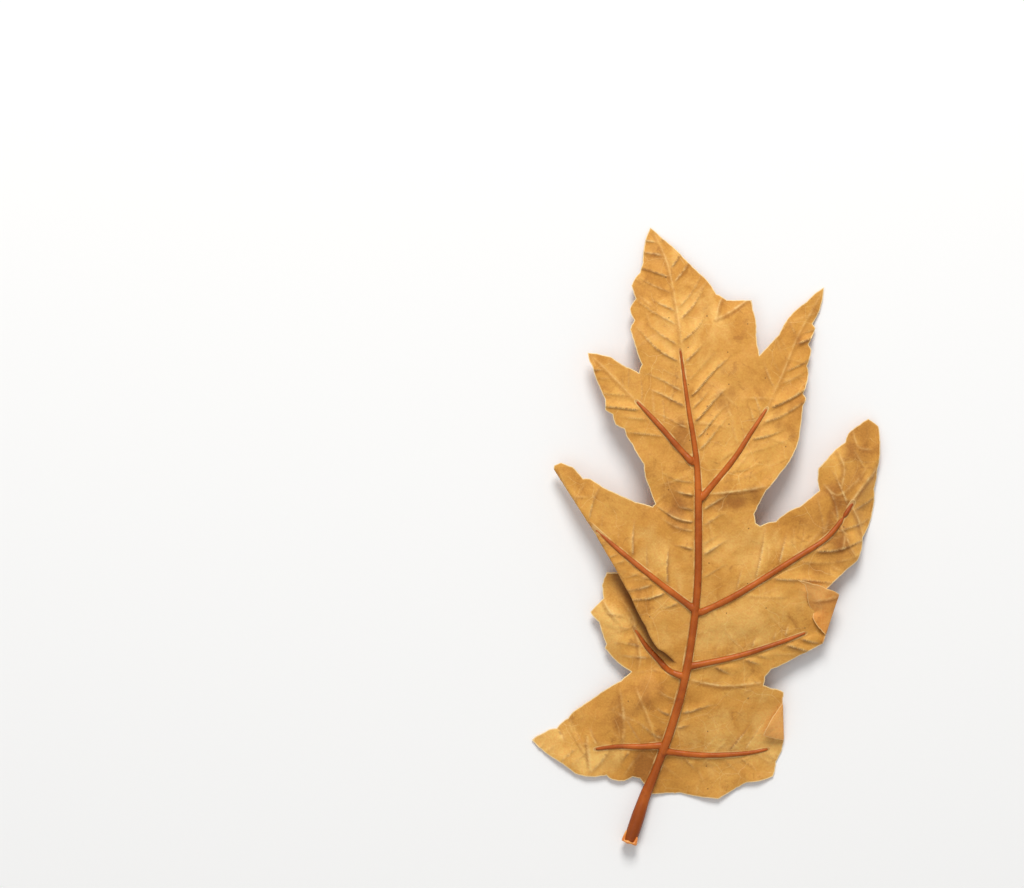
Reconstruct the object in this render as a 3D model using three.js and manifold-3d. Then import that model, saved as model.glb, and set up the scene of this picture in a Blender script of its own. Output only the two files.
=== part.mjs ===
// An artificial autumn leaf: a blade of pressed fabric with a moulded plastic rib frame on its face.
// It lies on its back with the ribs up. Millimetres, +Z up, +Y from the stalk's foot to the leaf's tip.
// The origin is on the surface that the leaf rests on, under the middle of its outline.
import * as THREE from "three";
import { mergeVertices } from "three/addons/utils/BufferGeometryUtils.js";
import Module from "manifold-3d";

const wasm = await Module();
wasm.setup();

// ---- driving dimensions ----
const thickness = 0.6; // the pressed fabric, with its coating
const contactGap = 0.35; // clearance between neighbouring pieces
const meshCell = 4; // spacing of the height grid under every sheet
const arch = { height: 13, centreY: 8, halfLength: 95, left: 58, right: 70 };
const restingSoftness = 2; // how gently the lobes flatten where they meet the surface
const midribBow = { x: -3, upper: 26, lower: 21 };
const lobeCrease = { x: 49.5, y: 10, upper: [0.87, -0.49], lower: [0.99, 0.11], slope: 0.8 };
const pleat = { spacing: 2.2, fullAt: 10, hiddenAngle: 10, hiddenReach: 34, closesFrom: 0.9, closedAt: 1.9 };
const flapLift = 1.3; // clearance between a turned-over lobe tip and the blade under it

const rib = { rootRadius: 1.08, tipRadius: 0.35, flatten: 0.8, sides: 10, steps: 14, stemSteps: 44 };
const stalk = { tipRadius: 0.35, middleRadius: 1.2, baseRadius: 1.4, sleeveRadius: 2.35 };
const socket = { radius: 1.5, depth: 7 };
const collar = { radius: 2.3, thickness: 0.5, lumps: 5, lumpHeight: 0.25 };

// ---- the leaf's outline, lobe by lobe, anticlockwise from the right of the stalk ----
const rightBase = [[-18.5, -88], [-9, -87.5], [4.5, -89.5], [14, -84], [23, -82], [24, -77], [27, -69.5]];
const lowerRightLobe = [[26.5, -56.5], [26.5, -53], [22, -51.5], [19.5, -50.5]];
const foldedRightLobe = [
  [20, -47.5], [22, -45], [30.5, -41], [40.5, -36], [41, -33.5], [42.5, -28], [44, -25], [45.5, -19.5],
  [41, -17.5],
];
const broadRightLobe = [
  [48.5, -10.5], [51.5, -8], [53.5, 0], [57, 8.5], [57.5, 16.5], [58.5, 22.5], [59.5, 34], [59, 38],
  [55.5, 40.5], [52.5, 38.5], [48.5, 35.5], [47.5, 32.5], [44, 30], [38, 23.5], [38.5, 16], [31.5, 10.5],
  [23.5, 5.5], [18, 4], [16.5, 5], [16, 8],
];
const upperRightLobe = [
  [20, 16], [25, 22], [31.5, 33.5], [33, 45], [34, 47.5], [33, 49], [35, 56], [34.5, 58.5], [36, 64],
  [35, 66], [37.5, 71.5], [36.5, 73], [39, 77.5], [40.5, 85.5], [34.5, 80.5], [29.5, 76.5], [25, 69.5],
  [18, 62],
];
const mainLobe = [
  [17, 69], [16, 77.5], [15.5, 81], [7, 81], [3.5, 83], [-2.5, 90.5], [-8, 96], [-15, 102.5], [-19, 106],
  [-21.5, 94], [-22.5, 90.5], [-25.5, 86], [-24, 81.5], [-26, 78], [-24.5, 74], [-26, 71], [-23.5, 62.5],
  [-22, 59], [-23, 56],
];
const upperLeftLobe = [
  [-27, 58], [-32.5, 61.5], [-40.5, 63], [-39, 58.5], [-37, 52.5], [-34.5, 47], [-34.5, 43.5], [-32, 42],
  [-31, 38.5], [-28, 37], [-25.5, 32], [-21.5, 25], [-19.5, 17], [-17.5, 11.5], [-18.5, 10.5],
];
const broadLeftLobe = [
  [-24, 12], [-35, 17], [-39.5, 20], [-42, 20], [-45.5, 24], [-49.5, 25.5], [-52, 24.5], [-51.5, 19.5],
  [-49.5, 13], [-46, 9.5], [-42, 6],
];
const shortLeftLobe = [
  [-34, -12], [-35.5, -16.5], [-35, -21], [-39.5, -25.5], [-36.5, -29], [-34, -36.5], [-34.5, -38],
  [-31.5, -41.5], [-25.5, -46],
];
const lowerLeftLobe = [
  [-29, -49], [-38.5, -55], [-45, -59.5], [-47, -62], [-51, -65.5], [-55.5, -67], [-59.5, -69.5],
  [-49, -77.5], [-44.5, -81], [-39, -82], [-34, -81.5], [-32, -83], [-28, -83.5], [-25, -82], [-22.5, -82.5],
  [-20.5, -85],
];

// The pleat between the two left lobes is a cone: every layer of it meets at its apex, by the midrib.
// Its visible lip runs from the leaf's edge to the apex, with a short step near the apex.
const pleatLip = [
  [-38, 0.9], [-31.1, -10.9], [-25.9, -20.3], [-20.7, -30.7], [-16.6, -38.1], [-14.3, -39.3], [-9.5, -43.5],
];
const pleatApex = new THREE.Vector2(...pleatLip.at(-1));
const lipAngle = Math.atan2(pleatLip[0][1] - pleatApex.y, pleatLip[0][0] - pleatApex.x);
const hiddenCreaseAngle = lipAngle - THREE.MathUtils.degToRad(pleat.hiddenAngle);
const hiddenCrease = new THREE.Vector2(Math.cos(hiddenCreaseAngle), Math.sin(hiddenCreaseAngle))
  .multiplyScalar(pleat.hiddenReach)
  .add(pleatApex);

// ---- the height of the blade's middle surface ----

// The midrib's place across the leaf, which bows a little to the left at both ends.
function midribX(y) {
  const bow = y > 0 ? midribBow.upper : midribBow.lower;
  return midribBow.x - (y / bow) ** 2;
}

// Lets a height sink to the resting surface and no further.
function settle(z) {
  return thickness / 2 + (z + Math.hypot(z, restingSoftness)) / 2;
}

// The broad right lobe bends down past two creases that meet in a point: how far past both a place is.
function pastCreases(x, y) {
  const past = ([across, along]) => (x - lobeCrease.x) * across + (y - lobeCrease.y) * along;
  return Math.max(0, Math.min(past(lobeCrease.upper), past(lobeCrease.lower)));
}

function bladeHeight(x, y) {
  const along = (y - arch.centreY) / arch.halfLength;
  const offset = x - midribX(y);
  const across = offset / (offset < 0 ? arch.left : arch.right);
  const domed = arch.height * (1 - along ** 2 - across ** 2);
  return settle(domed - lobeCrease.slope * pastCreases(x, y));
}

// How far the pleat's lower layer lies under the upper one. It closes at the apex and toward the stalk.
function pleatDrop(x, y) {
  const reach = Math.hypot(x - pleatApex.x, y - pleatApex.y);
  const angle = Math.atan2(y - pleatApex.y, x - pleatApex.x);
  const turned = THREE.MathUtils.euclideanModulo(angle - hiddenCreaseAngle, 2 * Math.PI);
  const closing = 1 - THREE.MathUtils.smoothstep(turned, pleat.closesFrom, pleat.closedAt);
  return 2 * pleat.spacing * THREE.MathUtils.smoothstep(reach, 0, pleat.fullAt) * closing;
}

const upperLayer = (x, y) => bladeHeight(x, y);
const lowerLayer = (x, y) => Math.max(thickness / 2, bladeHeight(x, y) - pleatDrop(x, y));
const middleLayer = (x, y) => (upperLayer(x, y) + lowerLayer(x, y)) / 2;
const flapLayer = (x, y) => upperLayer(x, y) + flapLift;

// ---- solids ----

function toSolid(geometry) {
  geometry.deleteAttribute("normal");
  geometry.deleteAttribute("uv");
  const merged = mergeVertices(geometry, 1e-4);
  return new wasm.Manifold(
    new wasm.Mesh({
      numProp: 3,
      vertProperties: new Float32Array(merged.attributes.position.array),
      triVerts: new Uint32Array(merged.index.array),
    }),
  );
}

function toMesh(solid, name, material) {
  const { vertProperties, triVerts } = solid.getMesh();
  const geometry = new THREE.BufferGeometry();
  geometry.setAttribute("position", new THREE.BufferAttribute(vertProperties, 3));
  geometry.setIndex(new THREE.BufferAttribute(triVerts, 1));
  geometry.computeVertexNormals();
  const mesh = new THREE.Mesh(geometry, material);
  mesh.name = name;
  return mesh;
}

// A thin solid between two height functions, cut to an outline.
function sheet(outline, bottom, top) {
  const points = outline.map(([x, y]) => new THREE.Vector2(x, y));
  const box = new THREE.Box2().setFromPoints(points);
  const low = box.min.divideScalar(meshCell).floor().multiplyScalar(meshCell);
  const high = box.max.divideScalar(meshCell).ceil().multiplyScalar(meshCell);
  const size = high.clone().sub(low);
  const slab = new THREE.BoxGeometry(size.x, size.y, 1, size.x / meshCell, size.y / meshCell, 1);
  slab.translate((low.x + high.x) / 2, (low.y + high.y) / 2, 0);
  const place = slab.attributes.position;
  for (let i = 0; i < place.count; i++) {
    const height = place.getZ(i) > 0 ? top : bottom;
    place.setZ(i, height(place.getX(i), place.getY(i)));
  }
  const depth = 4 * arch.height;
  const prism = new THREE.ExtrudeGeometry(new THREE.Shape(points), { depth, bevelEnabled: false });
  prism.translate(0, 0, -arch.height);
  return toSolid(slab).intersect(toSolid(prism));
}

function fabric(outline, layer) {
  return sheet(outline, (x, y) => layer(x, y) - thickness / 2, (x, y) => layer(x, y) + thickness / 2);
}

// The wall of a fold joins two layers along a line. It is as thick as the fabric, on the line's left.
function foldWall(line, lowLayer, highLayer) {
  const inward = new THREE.Vector2(line[0][1] - line[1][1], line[1][0] - line[0][0]).setLength(thickness);
  const inner = line.map(([x, y]) => [x + inward.x, y + inward.y]).reverse();
  return sheet(
    [...line, ...inner],
    (x, y) => lowLayer(x, y) - thickness / 2,
    (x, y) => highLayer(x, y) + thickness / 2,
  );
}

// ---- the blade ----
function makeBlade() {
  const apex = pleatApex.toArray();
  const hidden = hiddenCrease.toArray();
  const face = fabric(
    [
      ...rightBase, ...lowerRightLobe, ...foldedRightLobe, ...broadRightLobe, ...upperRightLobe, ...mainLobe,
      ...upperLeftLobe, ...broadLeftLobe, ...pleatLip, [-20.5, -85],
    ],
    upperLayer,
  );
  const underPleat = fabric(
    [apex, hidden, ...shortLeftLobe, ...lowerLeftLobe, [-17, -84], [-6.5, -44.5]],
    lowerLayer,
  );
  const insidePleat = fabric([...pleatLip, hidden], middleLayer);
  const foldedTip = fabric(
    [
      [45.5, -19.5], [44, -25], [42.5, -28], [41, -33.5], [38.5, -31], [36.2, -27.4], [36.8, -25.4],
      [35.1, -23.4], [34.2, -18.9], [33.3, -16], [30.8, -14.3], [36, -15.8], [41, -17.5],
    ],
    flapLayer,
  );
  const foldedCorner = fabric([[26.5, -56.5], [19.5, -67.5], [22.5, -68.5], [27, -69.5]], flapLayer);
  return face
    .add(underPleat)
    .add(insidePleat)
    .add(foldWall(pleatLip, middleLayer, upperLayer))
    .add(foldWall([apex, hidden], lowerLayer, middleLayer))
    .add(foldedTip)
    .add(foldWall([[41, -33.5], [45.5, -19.5]], upperLayer, flapLayer))
    .add(foldedCorner)
    .add(foldWall([[27, -69.5], [26.5, -56.5]], upperLayer, flapLayer));
}

// ---- the rib frame: midrib, side ribs and stalk, moulded in one piece ----

const midribLine = [
  [-9, 64], [-6.5, 45.5], [-3.5, 25], [-3, 3], [-3.5, -20], [-7, -46], [-11.5, -63.5], [-17.5, -80.5],
  [-21, -89], [-26, -104],
];
const upperSideRibs = [
  [[-24, 46.5], [-16.5, 38.5], [-10, 31], [-4.5, 25]],
  [[-40, 5], [-32.5, -2], [-18.5, -13.5], [-3.5, -25]],
  [[-38, -72.5], [-30, -71.5], [-22.5, -71.5], [-14, -71]],
  [[20.5, 44], [14.5, 35], [8.5, 26], [-2.8, 12.5]],
  [[50, 12], [46.5, 6.5], [40.5, -0.5], [29.5, -7.5], [10, -19.5], [-3.5, -26]],
  [[34, -32.5], [23, -36.5], [10, -40.5], [-6.5, -44]],
  [[21.5, -72.5], [13, -74], [-1, -74.5], [-15, -73]],
];
const pleatSideRib = [[-24.5, -31], [-20.5, -37], [-16.5, -41.5], [-12.5, -45.5], [-7, -47.5]];

// A round rod that lies on the blade along a line of plan points, from its thin end to its thick end.
function rodOnBlade(plan, layer, radiusAt, flatten, steps) {
  const line = new THREE.SplineCurve(plan.map(([x, y]) => new THREE.Vector2(x, y)));
  const profile = [new THREE.Vector2(0, 0)];
  for (let i = 0; i <= steps; i++) profile.push(new THREE.Vector2(1, i / steps));
  profile.push(new THREE.Vector2(0, 1));
  const rod = new THREE.LatheGeometry(profile, rib.sides);
  const place = rod.attributes.position;
  for (let i = 0; i < place.count; i++) {
    const at = place.getY(i);
    const centre = line.getPointAt(at);
    const heading = line.getTangentAt(at);
    const radius = radiusAt(at);
    const sideways = place.getX(i) * radius;
    const upward = (1 + place.getZ(i)) * radius * flatten;
    const underside = layer(centre.x, centre.y) + thickness / 2 + contactGap;
    place.setXYZ(
      i,
      centre.x + heading.y * sideways,
      centre.y - heading.x * sideways,
      underside + upward,
    );
  }
  return toSolid(rod);
}

function sideRib(plan, layer) {
  const radiusAt = (at) => THREE.MathUtils.lerp(rib.tipRadius, rib.rootRadius, Math.sqrt(at));
  return rodOnBlade(plan, layer, radiusAt, rib.flatten, rib.steps);
}

// The midrib thickens down to the blade's base and runs on as the stalk, which ends in a sleeve.
function stalkRadius(at) {
  const midrib = THREE.MathUtils.lerp(stalk.tipRadius, stalk.middleRadius, Math.min(1, at / 0.3));
  const base = (stalk.baseRadius - stalk.middleRadius) * THREE.MathUtils.smoothstep(at, 0.4, 0.85);
  const sleeve = (stalk.sleeveRadius - stalk.baseRadius) * THREE.MathUtils.smoothstep(at, 0.84, 0.96);
  return midrib + base + sleeve;
}

// Where the stalk ends, and which way it points there.
function stalkFoot() {
  const [x, y] = midribLine.at(-1);
  const [beforeX, beforeY] = midribLine.at(-2);
  const heading = new THREE.Vector2(x - beforeX, y - beforeY).normalize();
  const height = upperLayer(x, y) + thickness / 2 + contactGap + stalk.sleeveRadius;
  return { centre: new THREE.Vector3(x, y, height), heading };
}

function socketBore() {
  const { centre, heading } = stalkFoot();
  const bore = new THREE.CylinderGeometry(socket.radius, socket.radius, 2 * socket.depth, 16);
  bore.rotateZ(heading.angle() - Math.PI / 2);
  bore.translate(centre.x, centre.y, centre.z);
  return toSolid(bore);
}

function makeRibFrame() {
  const stem = rodOnBlade(midribLine, upperLayer, stalkRadius, 1, rib.stemSteps);
  return upperSideRibs
    .map((plan) => sideRib(plan, upperLayer))
    .reduce((frame, piece) => frame.add(piece), stem)
    .add(sideRib(pleatSideRib, lowerLayer))
    .subtract(socketBore());
}

// ---- the ring of glue round the mouth of the stalk's socket ----
function makeGlueCollar() {
  const ring = new THREE.TorusGeometry(collar.radius, collar.thickness, 8, 30);
  const place = ring.attributes.position;
  for (let i = 0; i < place.count; i++) {
    const angle = Math.atan2(place.getY(i), place.getX(i));
    const lump = collar.lumpHeight * Math.max(0, Math.sin(collar.lumps * angle));
    const swell = 1 + lump / collar.radius;
    place.setXYZ(i, place.getX(i) * swell, place.getY(i) * swell, place.getZ(i));
  }
  const { centre, heading } = stalkFoot();
  ring.rotateX(Math.PI / 2);
  ring.rotateZ(heading.angle() - Math.PI / 2);
  const standOff = contactGap + collar.thickness;
  ring.translate(centre.x + heading.x * standOff, centre.y + heading.y * standOff, centre.z);
  return toSolid(ring);
}

// ---- the leaf ----
const fabricMaterial = new THREE.MeshStandardMaterial({ color: 0xd9a55a, roughness: 0.85, metalness: 0 });
const ribMaterial = new THREE.MeshStandardMaterial({ color: 0xa8502a, roughness: 0.5, metalness: 0 });
const glueMaterial = new THREE.MeshStandardMaterial({ color: 0xe08a30, roughness: 0.35, metalness: 0 });

const leaf = new THREE.Group();
leaf.add(toMesh(makeBlade(), "blade", fabricMaterial));
leaf.add(toMesh(makeRibFrame(), "rib_frame", ribMaterial));
leaf.add(toMesh(makeGlueCollar(), "glue_collar", glueMaterial));

const box = new THREE.Box3().setFromObject(leaf);
leaf.position.set(-(box.min.x + box.max.x) / 2, -(box.min.y + box.max.y) / 2, -box.min.z);

export default leaf;
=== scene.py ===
"""An artificial autumn leaf that lies on its back with its ribs up.

The blade is one sheet of pressed fabric, folded from a flat cut. The ribs and the stalk are moulded plastic.
Metres, +Z up, +Y from the stalk's foot to the leaf's tip. The plan is what is seen from straight above.
"""

import math
from collections import namedtuple

import bmesh
import bpy
import numpy as np
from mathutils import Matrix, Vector
from mathutils.geometry import delaunay_2d_cdt


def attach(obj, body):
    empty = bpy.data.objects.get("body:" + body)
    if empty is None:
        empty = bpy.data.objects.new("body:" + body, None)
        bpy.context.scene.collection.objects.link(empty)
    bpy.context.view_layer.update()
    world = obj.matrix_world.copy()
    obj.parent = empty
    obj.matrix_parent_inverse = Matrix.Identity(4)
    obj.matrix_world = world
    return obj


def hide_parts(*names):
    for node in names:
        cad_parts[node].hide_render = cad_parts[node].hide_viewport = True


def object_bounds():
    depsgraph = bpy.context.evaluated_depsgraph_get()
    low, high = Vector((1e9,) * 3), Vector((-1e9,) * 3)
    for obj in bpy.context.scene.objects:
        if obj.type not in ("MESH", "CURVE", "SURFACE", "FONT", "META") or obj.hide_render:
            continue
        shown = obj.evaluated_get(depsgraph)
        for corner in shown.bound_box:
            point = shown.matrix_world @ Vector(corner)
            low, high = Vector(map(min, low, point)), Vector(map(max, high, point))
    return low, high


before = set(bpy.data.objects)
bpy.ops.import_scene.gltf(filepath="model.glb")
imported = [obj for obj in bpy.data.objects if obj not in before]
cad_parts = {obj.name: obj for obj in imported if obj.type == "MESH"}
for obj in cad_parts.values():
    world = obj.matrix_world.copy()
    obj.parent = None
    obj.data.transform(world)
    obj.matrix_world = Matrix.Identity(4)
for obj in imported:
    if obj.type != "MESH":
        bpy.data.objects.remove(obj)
cad_low, cad_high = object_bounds()

MM = 0.001

# ---- the CAD part's driving dimensions ----
CAD_THICKNESS = 0.6 * MM
ARCH_HEIGHT = 13 * MM
ARCH_CENTRE_Y = 8 * MM
ARCH_HALF_LENGTH = 95 * MM
ARCH_LEFT = 58 * MM
ARCH_RIGHT = 70 * MM
RESTING_SOFTNESS = 2 * MM
PLEAT_SPACING = 2.2 * MM
PLEAT_FULL_AT = 6 * MM
PLEAT_TURN = math.radians(10)
PLEAT_HIDDEN_REACH = 34 * MM
FLAP_LIFT = 1.3 * MM
LEAF_TOP = 106 * MM

# ---- the fabric as it is seen ----
THICKNESS = 0.42 * MM
FOLD_RADIUS = 0.4 * MM
LOWEST = 0.3 * MM
# The pleat's lip springs up a little near its fold, and a painted shadow darkens a strip beside it that
# widens outward.
LIP_LIFT = 0.9 * MM
LIP_LIFT_REACH = 4 * MM
SHADE_WIDTH = 1.3 * MM
SHADE_SPREAD = 0.068
# How far apart the mesh's points are: in the open, along the cut edge and along the crests.
MESH_STEP = 0.6 * MM
EDGE_STEP = 0.5 * MM
CREST_STEP = 0.45 * MM
CLOSEST_POINTS = 0.27 * MM

# ---- the leaf's outline, lobe by lobe, anticlockwise from the right of the stalk ----
RIGHT_BASE = [(-18.5, -88), (-9, -87.5), (4.5, -89.5), (14, -84), (23, -82), (24, -77), (27, -69.5)]
TURNED_CORNER = [(22.5, -68.5), (19.5, -67.5)]
LOWER_RIGHT_LOBE = [(26.5, -56.5), (26.5, -53), (22, -51.5), (19.5, -50.5)]
FOLDED_RIGHT_LOBE = [(20, -47.5), (22, -45), (30.5, -41), (40.5, -36), (41, -33.5)]
TURNED_TIP = [
    (38.5, -31), (36.2, -27.4), (36.8, -25.4), (35.1, -23.4), (34.2, -18.9), (33.3, -16), (30.8, -14.3),
    (36, -15.8), (41, -17.5),
]
BROAD_RIGHT_LOBE = [
    (45.5, -19.5), (41, -17.5), (48.5, -10.5), (51.5, -8), (53.5, 0), (57, 8.5), (57.5, 16.5), (58.5, 22.5),
    (59.5, 34), (59, 38), (55.5, 40.5), (52.5, 38.5), (48.5, 35.5), (47.5, 32.5), (44, 30), (38, 23.5),
    (38.5, 16), (31.5, 10.5), (23.5, 5.5), (18, 4), (16.5, 5), (16, 8),
]
UPPER_RIGHT_LOBE = [
    (20, 16), (25, 22), (31.5, 33.5), (33, 45), (34, 47.5), (33, 49), (35, 56), (34.5, 58.5), (36, 64),
    (35, 66), (37.5, 71.5), (36.5, 73), (39, 77.5), (40.5, 85.5), (34.5, 80.5), (29.5, 76.5), (25, 69.5),
    (18, 62),
]
MAIN_LOBE = [
    (17, 69), (16, 77.5), (15.5, 81), (7, 81), (3.5, 83), (-2.5, 90.5), (-8, 96), (-15, 102.5), (-19, 106),
    (-21.5, 94), (-22.5, 90.5), (-25.5, 86), (-24, 81.5), (-26, 78), (-24.5, 74), (-26, 71), (-23.5, 62.5),
    (-22, 59), (-23, 56),
]
UPPER_LEFT_LOBE = [
    (-27, 58), (-32.5, 61.5), (-40.5, 63), (-39, 58.5), (-37, 52.5), (-34.5, 47), (-34.5, 43.5), (-32, 42),
    (-31, 38.5), (-28, 37), (-25.5, 32), (-21.5, 25), (-19.5, 17), (-17.5, 11.5), (-18.5, 10.5),
]
BROAD_LEFT_LOBE = [
    (-24, 12), (-35, 17), (-39.5, 20), (-42, 20), (-45.5, 24), (-49.5, 25.5), (-52, 24.5), (-51.5, 19.5),
    (-49.5, 13), (-46, 9.5), (-42, 6),
]
SHORT_LEFT_LOBE = [
    (-34, -12), (-35.5, -16.5), (-35, -21), (-39.5, -25.5), (-36.5, -29), (-34, -36.5), (-34.5, -38),
    (-31.5, -41.5), (-25.5, -46),
]
LOWER_LEFT_LOBE = [
    (-29, -49), (-38.5, -55), (-45, -59.5), (-47, -62), (-51, -65.5), (-55.5, -67), (-59.5, -69.5),
    (-49, -77.5), (-44.5, -81), (-39, -82), (-34, -81.5), (-32, -83), (-28, -83.5), (-25, -82),
    (-22.5, -82.5), (-20.5, -85),
]

# ---- the veins, each from its root to its lobe's tip. A rib covers the first points of each ----
Vein = namedtuple("Vein", "rib beyond")
VEINS = {
    "mid": Vein([(-7, -46), (-3.5, -20), (-3, 3), (-3.5, 25), (-6.5, 45.5), (-9, 64)],
                [(-10, 77.5), (-13, 93), (-17.5, 104)]),
    "right_1": Vein([(-2.8, 12.5), (8.5, 26), (14.5, 35), (20.5, 44)], [(26, 56), (32, 70), (40, 85)]),
    "right_2": Vein([(-3.5, -26), (10, -19.5), (29.5, -7.5), (40.5, -0.5), (46.5, 6.5), (50, 12)],
                    [(54, 22), (58, 33)]),
    "right_3": Vein([(-6.5, -44), (10, -40.5), (23, -36.5), (34, -32.5)], [(41, -29)]),
    "right_4": Vein([(-15, -73), (-1, -74.5), (13, -74), (21.5, -72.5)], [(27, -71)]),
    "left_1": Vein([(-4.5, 25), (-10, 31), (-16.5, 38.5), (-24, 46.5)], [(-32, 55), (-40, 63)]),
    "left_2": Vein([(-3.5, -25), (-18.5, -13.5), (-32.5, -2), (-40, 5)], [(-46, 13), (-51, 23)]),
    "left_3": Vein([(-7, -47.5), (-12.5, -45.5), (-16.5, -41.5), (-20.5, -37), (-24.5, -31)],
                   [(-29, -24), (-33, -17)]),
    "left_4": Vein([(-14, -71), (-22.5, -71.5), (-30, -71.5), (-38, -72.5)], [(-48, -71), (-58, -69.5)]),
    "base": Vein([(-26, -104), (-21, -89), (-17.5, -80.5), (-11.5, -63.5), (-7, -46)], []),
}

# ---- the folds of the flat cut ----
PLEAT_APEX = MM * np.array((-9.5, -43.5))
# The visible lip of the pleat bows: its reach from the apex and its direction there, in degrees.
LIP_REACH = MM * np.array((4, 6.4, 8.9, 17, 28.4, 39.1, 52.8))
LIP_DIRECTION = np.array((138.6, 139, 142.7, 131.2, 125.3, 123.5, 122.7))
PLEAT_END = math.radians(250)
Flap = namedtuple("Flap", "start end length curl")
FLAPS = [
    Flap(MM * np.array((41, -33.5)), MM * np.array((45.5, -19.5)), 18 * MM, 0.10),
    Flap(MM * np.array((27, -69.5)), MM * np.array((26.5, -56.5)), 15 * MM, 0.12),
]


# ---- the ribs' thickness ----
RIB_ROOT_RADIUS = 1.08 * MM
RIB_TIP_RADIUS = 0.34 * MM
BLUNT_TIP_RADIUS = 0.62 * MM
RIB_FLATTEN = 0.8
STEM_FLATTEN = 0.9
STEM_TIP_RADIUS = 0.35 * MM
STEM_MIDDLE_RADIUS = 1.2 * MM
STEM_BASE_RADIUS = 1.4 * MM
SLEEVE_RADIUS = 2.35 * MM
MOUTH_TAPER = 0.2 * MM
BLUNT_RIB = "right_2"
BLUNT_RIB_NECK = 6.3 * MM


# ---- small helpers ----
def smoothstep(x, low, high):
    t = np.clip((x - low) / (high - low), 0, 1)
    return t * t * (3 - 2 * t)


def bell(x, width):
    return np.exp(-((x / width) ** 2))


def leftward(heading):
    """The plan headings turned a quarter to the left."""
    return np.column_stack([-heading[:, 1], heading[:, 0]])


def closed(ring):
    return np.vstack([ring, ring[:1]])


def passing(x, width):
    """Goes from 0 to 1 as x passes 0, over about the width on each side."""
    return 0.5 + 0.5 * x / np.hypot(x, width)


def spline(points, per_span=12):
    """A smooth line through plan points given in millimetres, as an array in metres."""
    p = MM * np.array(points, float)
    spans = []
    for i in range(len(p) - 1):
        before = p[max(i - 1, 0)]
        after = p[min(i + 2, len(p) - 1)]
        start, end = p[i], p[i + 1]
        leave, arrive = (end - before) / 2, (after - start) / 2
        t = np.linspace(0, 1, per_span, endpoint=False)[:, None]
        spans.append(
            (2 * start - 2 * end + leave + arrive) * t**3
            + (3 * end - 3 * start - 2 * leave - arrive) * t**2
            + leave * t
            + start
        )
    return np.vstack([*spans, p[-1:]])


def beside_line(points, line):
    """Each point's way along the line, its offset to the line's left, and its distance from the line."""
    best = np.full(len(points), np.inf)
    way, offset = np.zeros(len(points)), np.zeros(len(points))
    done = 0.0
    for a, b in zip(line[:-1], line[1:]):
        length = math.dist(a, b)
        unit = (b - a) / length
        rel = points - a
        along = np.clip(rel @ unit, 0, length)
        gap = np.hypot(*(rel - along[:, None] * unit).T)
        nearer = gap < best
        left = unit[0] * rel[:, 1] - unit[1] * rel[:, 0]
        best[nearer] = gap[nearer]
        way[nearer] = done + along[nearer]
        offset[nearer] = (np.sign(left) * gap)[nearer]
        done += length
    return way, offset, best


def line_length(line):
    return float(np.hypot(*np.diff(line, axis=0).T).sum())


def even_points(line, step):
    """The line's points at even steps, with its headings and each point's share of the length."""
    ways = np.concatenate([[0], np.cumsum(np.hypot(*np.diff(line, axis=0).T))])
    count = max(2, round(ways[-1] / step))
    at = np.linspace(0, 1, count + 1)
    points = np.column_stack([np.interp(at * ways[-1], ways, line[:, i]) for i in (0, 1)])
    heading = np.gradient(points, axis=0)
    heading /= np.hypot(*heading.T)[:, None]
    return points, heading, at


def waves(points, wavelength, seed, count=14):
    """Smooth noise of about unit size: a seeded sum of plane waves."""
    rng = np.random.default_rng(seed)
    total = np.zeros(len(points))
    for _ in range(count):
        heading = rng.uniform(0, 2 * math.pi)
        step = 2 * math.pi / (wavelength * rng.uniform(0.7, 1.5))
        phase = rng.uniform(0, 2 * math.pi)
        total += np.sin(step * (points @ (math.cos(heading), math.sin(heading))) + phase)
    return total / math.sqrt(count)


# ---- folding the flat cut ----
def lip_angle(reach):
    return np.radians(np.interp(reach, LIP_REACH, LIP_DIRECTION))


def pleat_stretch(reach):
    """How much faster the angle round the apex turns in the plan than in the flat cut, past the pleat."""
    span = PLEAT_END - lip_angle(reach)
    return (span + PLEAT_TURN) / (span - PLEAT_TURN)


def round_apex(points):
    """Each point's reach from the pleat's apex and its direction from there."""
    rel = points - PLEAT_APEX
    return np.hypot(*rel.T), np.arctan2(rel[:, 1], rel[:, 0])


def flatten_pleat(points):
    """The flat cut's points for plan points on the pleat's lower layer."""
    reach, angle = round_apex(MM * np.array(points, float))
    angle = np.mod(angle, 2 * math.pi)
    hidden = lip_angle(reach) - PLEAT_TURN
    opened = lip_angle(reach) + PLEAT_TURN + (angle - hidden) / pleat_stretch(reach)
    angle = np.where(angle < PLEAT_END, opened, angle)
    return from_apex(reach, angle)


def from_apex(reach, angle):
    return PLEAT_APEX + reach[:, None] * np.column_stack([np.cos(angle), np.sin(angle)])


def lip_crease():
    """The pleat's first fold in the flat cut, from near the apex to the edge."""
    reach = np.linspace(0, LIP_REACH[-1], 27)
    return from_apex(reach, lip_angle(reach))


def hidden_crease():
    """The pleat's second fold in the flat cut."""
    reach = np.linspace(0, PLEAT_HIDDEN_REACH, 18)
    return from_apex(reach, lip_angle(reach) + PLEAT_TURN)


def fold_pleat(flat):
    """Lays the Z-shaped pleat: returns plan points, the turn past the lip and the reach from the apex."""
    reach, angle = round_apex(flat)
    lip = lip_angle(reach)
    past_end = PLEAT_END - lip
    turn = np.mod(angle - lip - past_end, 2 * math.pi) + past_end - 2 * math.pi
    softness = FOLD_RADIUS / np.maximum(reach, FOLD_RADIUS)
    half = (pleat_stretch(reach) + 1) / 2
    second = np.hypot(turn - PLEAT_TURN, softness)
    folded = half * turn - np.hypot(turn, softness) + half * second - half * PLEAT_TURN
    return from_apex(reach, lip + folded), turn, reach


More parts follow.
